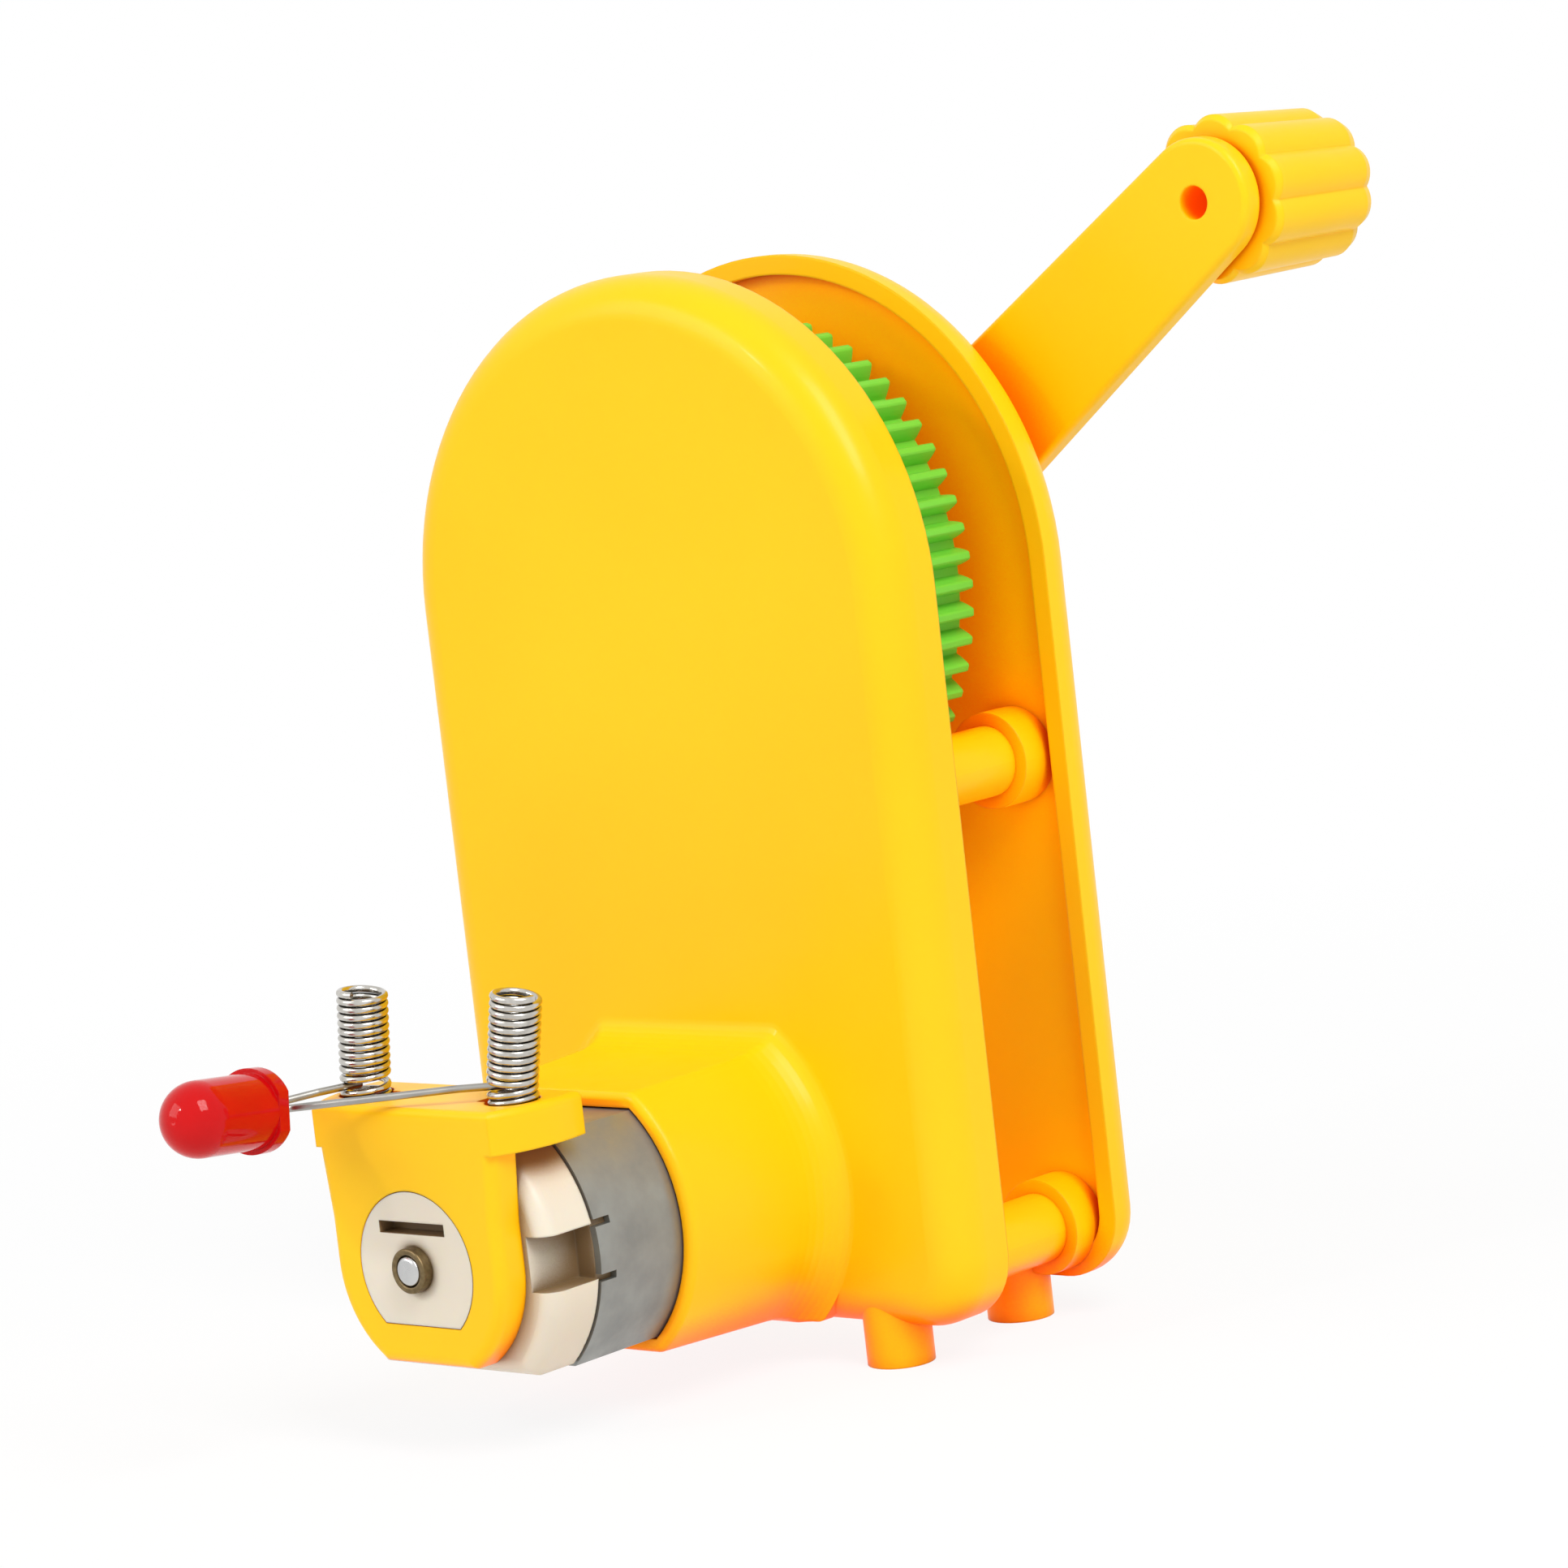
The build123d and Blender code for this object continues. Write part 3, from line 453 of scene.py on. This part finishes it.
bearing_low, bearing_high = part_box("motor_rear_bearing")
bearing_radius = (bearing_high.x - bearing_low.x) / 2
bore = shaft_radius + running_fit
bpy.ops.object.select_all(action="DESELECT")
bpy.ops.mesh.primitive_plane_add(size=1.0, location=(
    (bearing_radius + bore) / 2, (bearing_low.y + bearing_high.y) / 2, axis_z))
bearing = bpy.context.object
bearing.name = "rounded_bearing"
bearing.scale = (bearing_radius - bore, bearing_high.y - bearing_low.y, 1.0)
bpy.ops.object.transform_apply(location=True, rotation=True, scale=True)
bpy.ops.object.mode_set(mode="EDIT")
bpy.ops.mesh.select_all(action="SELECT")
bpy.ops.mesh.bevel(offset=ring_rounding, segments=3, affect="VERTICES")
bpy.ops.mesh.delete(type="ONLY_FACE")
bpy.ops.mesh.select_all(action="SELECT")
bpy.ops.mesh.spin(steps=round_steps, angle=2 * pi, center=(0, 0, axis_z), axis=(0, 1, 0))
bpy.ops.mesh.select_all(action="SELECT")
bpy.ops.mesh.remove_doubles(threshold=1e-6)
bpy.ops.mesh.normals_make_consistent(inside=False)
bpy.ops.object.mode_set(mode="OBJECT")
settle(bearing, "housing", "motor_rear_bearing", bronze)

# %% [markdown]
# ## Terminal springs
# Each terminal is a close-wound spring: 0.5 mm wire with every turn touching the next, and
# one place low down where a lamp lead is pinched between two turns, which tips the turns
# above it sideways. The model holds a plainer spring with open turns. A curve with a bevel
# would be one way to make the full one; here a wire's round section is carried round by the
# Screw modifier, once for the turns below the lead and once for those above, because the
# turns above can then be tipped as one piece, as on the real thing.

# %% Spring sizes
wire = 0.48 * MM
wind_pitch = 0.505 * MM
coil_radius = 1.46 * MM     # of the wire's centre line
seat_depth = 0.65 * MM      # recess in the platform
seat_gap = 0.02 * MM
spring_y = -23.8 * MM
steps_per_turn = 32
wire_sides = 12
platform_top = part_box("terminal_bracket")[1].z
print("platform top, mm:", round(platform_top / MM, 2))

# %% [markdown]
# The wire's round section is a small circle that stands upright at the coil's radius. The
# Screw modifier turns about the object's own origin, so the section is moved to the middle
# for it and moved back afterwards.

# %% Winding one stack of turns
def wind(name, centre, height, start, turns, rise):
    """A stack of turns whose wire starts at the angle start, at the given height."""
    spot = (centre + coil_radius * cos(start), spring_y + coil_radius * sin(start), height)
    bpy.ops.object.select_all(action="DESELECT")
    bpy.ops.mesh.primitive_circle_add(
        vertices=wire_sides, radius=wire / 2, location=spot, rotation=(pi / 2, 0, start))
    stack = bpy.context.object
    stack.name = name
    bpy.ops.object.transform_apply(location=True, rotation=True, scale=True)
    stack.data.transform(Matrix.Translation((-centre, -spring_y, 0)))
    screw = stack.modifiers.new("turns", "SCREW")
    screw.axis = "Z"
    screw.angle = 2 * pi * turns
    screw.screw_offset = rise
    screw.steps = int(steps_per_turn * turns)
    screw.render_steps = screw.steps
    screw.iterations = 1
    bpy.ops.object.modifier_apply(modifier=screw.name)
    stack.data.transform(Matrix.Translation((centre, spring_y, 0)))
    return stack


def close_wire_ends(piece):
    """Close the two cut ends of the wire."""
    select_only(piece)
    bpy.ops.object.mode_set(mode="EDIT")
    bpy.ops.mesh.select_mode(type="VERT")
    bpy.ops.mesh.select_all(action="SELECT")
    bpy.ops.mesh.remove_doubles(threshold=1e-6)
    bpy.ops.mesh.select_all(action="DESELECT")
    bpy.ops.mesh.select_non_manifold(extend=False)
    bpy.ops.mesh.edge_face_add()
    bpy.ops.mesh.select_all(action="SELECT")
    bpy.ops.mesh.normals_make_consistent(inside=False)
    bpy.ops.object.mode_set(mode="OBJECT")


print("wire and pitch, mm:", round(wire / MM, 2), round(wind_pitch / MM, 3))


# %% Terminal springs
def terminal_spring(name, centre, low_turns, high_turns, slit_rise, tip_angle):
    """Turns below the lead, one turn that opens round it, and tipped turns above."""
    base = platform_top - seat_depth + wire / 2 + seat_gap
    start = -2 * pi * low_turns
    low = wind(name, centre, base, start, low_turns, wind_pitch * low_turns)
    split = base + wind_pitch * low_turns
    slit = wind(name + " slit", centre, split, 0.0, 1.0, wind_pitch + slit_rise)
    above = split + wind_pitch + slit_rise
    high = wind(name + " high", centre, above, 0.0, high_turns, wind_pitch * high_turns)
    bpy.ops.object.select_all(action="DESELECT")
    slit.select_set(True)
    high.select_set(True)
    bpy.context.view_layer.objects.active = slit
    bpy.ops.object.join()
    bpy.ops.object.mode_set(mode="EDIT")
    bpy.ops.mesh.select_all(action="SELECT")
    pivot = (centre + coil_radius, spring_y, split)
    bpy.ops.transform.rotate(value=-tip_angle, orient_axis="Y", center_override=pivot)
    bpy.ops.object.mode_set(mode="OBJECT")
    low.select_set(True)
    bpy.context.view_layer.objects.active = low
    bpy.ops.object.join()
    close_wire_ends(low)
    bpy.ops.object.shade_smooth_by_angle(angle=radians(50))
    low.data.materials.append(spring_wire_steel)
    return low


left_spring = terminal_spring("left_wound_spring", centre=-6.7 * MM, low_turns=1.4,
                              high_turns=10.8, slit_rise=0.40 * MM, tip_angle=radians(6.8))
right_spring = terminal_spring("right_wound_spring", centre=6.85 * MM, low_turns=2.13,
                               high_turns=11.0, slit_rise=0.05 * MM, tip_angle=radians(12.4))
for spring, node in ((left_spring, "left_terminal_spring"), (right_spring, "right_terminal_spring")):
    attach(spring, "housing")
    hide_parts(node)
    heights = [v.co.z for v in spring.data.vertices]
    print(spring.name, "top above platform, mm:", round((max(heights) - platform_top) / MM, 2),
          "triangles:", 2 * len(spring.data.polygons))

# %% [markdown]
# ## Floor and light
# The object is photographed on white. The floor is a plain pale sheet that the camera sees
# as almost white, with only a share of its own shading left, so the shadow under the feet
# stays soft. With distance even that share fades to none, so that no horizon shows. Metal
# and gloss see the same white.

# %% Choosing by kind of ray
def seen_by(tree, *kinds):
    """1 for the named kinds of ray, 0 for all others."""
    path = add(tree, "LightPath")
    result = path.outputs[kinds[0]]
    for kind in kinds[1:]:
        either = add(tree, "Math", operation="MAXIMUM")
        tree.links.new(result, either.inputs[0])
        tree.links.new(path.outputs[kind], either.inputs[1])
        result = either.outputs["Value"]
    return result


print("helper: seen_by")

# %% Floor
near_white = 0.88           # share of plain white close to the object
fade_start, fade_end = 0.06, 0.20

bpy.ops.object.select_all(action="DESELECT")
bpy.ops.mesh.primitive_plane_add(size=8.0, location=(0, 0, 0))
floor = bpy.context.object
floor.name = "floor"
floor_paint, tree, shader = new_material("pale floor", 0.9)
shader.inputs["Specular IOR Level"].default_value = 0.1
paper = noise(tree, add(tree, "TexCoord").outputs["Object"], 30.0, 2.0)
tree.links.new(mix_colours(tree, paper, (0.90, 0.90, 0.90), (0.88, 0.88, 0.88)),
               shader.inputs["Base Color"])
glow = add(tree, "Emission")
glow.inputs["Color"].default_value = (1, 1, 1, 1)
glow.inputs["Strength"].default_value = 1.0
distance = add(tree, "VectorMath", operation="LENGTH")
tree.links.new(add(tree, "TexCoord").outputs["Object"], distance.inputs[0])
far_share = spread(tree, distance.outputs["Value"], near_white, 1.0, fade_start, fade_end)
share = add(tree, "Math", operation="MULTIPLY")
tree.links.new(seen_by(tree, "Is Camera Ray", "Is Glossy Ray"), share.inputs[0])
tree.links.new(far_share, share.inputs[1])
blend_floor = add(tree, "MixShader")
tree.links.new(share.outputs["Value"], blend_floor.inputs["Fac"])
tree.links.new(shader.outputs["BSDF"], blend_floor.inputs[1])
tree.links.new(glow.outputs["Emission"], blend_floor.inputs[2])
tree.links.new(blend_floor.outputs["Shader"], tree.nodes["Material Output"].inputs["Surface"])
floor.data.materials.append(floor_paint)
print("floor, m:", tuple(round(side, 2) for side in floor.dimensions))

# %% [markdown]
# The room gives a weak, even light from all sides. The camera, and what is mirrored in metal
# or seen through something clear, get plain white instead, so the background stays white
# without putting more light on the object.

# %% World
room_light = 0.45
world = bpy.data.worlds.new("studio")
bpy.context.scene.world = world
world.use_nodes = True
tree = world.node_tree
room = tree.nodes["Background"]
room.inputs["Color"].default_value = (1.0, 1.0, 1.0, 1)
room.inputs["Strength"].default_value = room_light
white_room = add(tree, "Background")
white_room.inputs["Color"].default_value = (1.0, 1.0, 1.0, 1)
white_room.inputs["Strength"].default_value = 1.0
white_rays = seen_by(tree, "Is Camera Ray", "Is Transmission Ray", "Is Glossy Ray")
blend_world = add(tree, "MixShader")
tree.links.new(white_rays, blend_world.inputs["Fac"])
tree.links.new(room.outputs["Background"], blend_world.inputs[1])
tree.links.new(white_room.outputs["Background"], blend_world.inputs[2])
tree.links.new(blend_world.outputs["Shader"], tree.nodes["World Output"].inputs["Surface"])
print("room light:", room_light)

# %% [markdown]
# A large soft lamp from the front right gives the long pale highlight on the shell's round
# edge, a second from the left fills the motor, and a small one gives the lamp its glints.

# %% Soft lamps
middle = (0, 0, 0.04)       # where all of them point


def soft_lamp(name, place, size, power):
    data = bpy.data.lights.new(name, "AREA")
    data.shape = "RECTANGLE"
    data.size, data.size_y = size
    data.energy = power
    lamp = bpy.data.objects.new(name, data)
    bpy.context.scene.collection.objects.link(lamp)
    direction = Vector(middle) - Vector(place)
    lamp.rotation_mode = "QUATERNION"
    lamp.rotation_quaternion = direction.to_track_quat("-Z", "Y")
    lamp.location = place
    return lamp


soft_lamp("key", (0.50, -0.18, 0.62), (0.30, 0.45), 4.4)
soft_lamp("fill", (-0.40, -0.60, 0.40), (0.4, 0.4), 1.7)
soft_lamp("glint", (-0.15, -0.6, 0.45), (0.05, 0.05), 0.6)
bpy.context.scene.view_settings.view_transform = "Standard"
print("lamps:", len(bpy.data.lights))
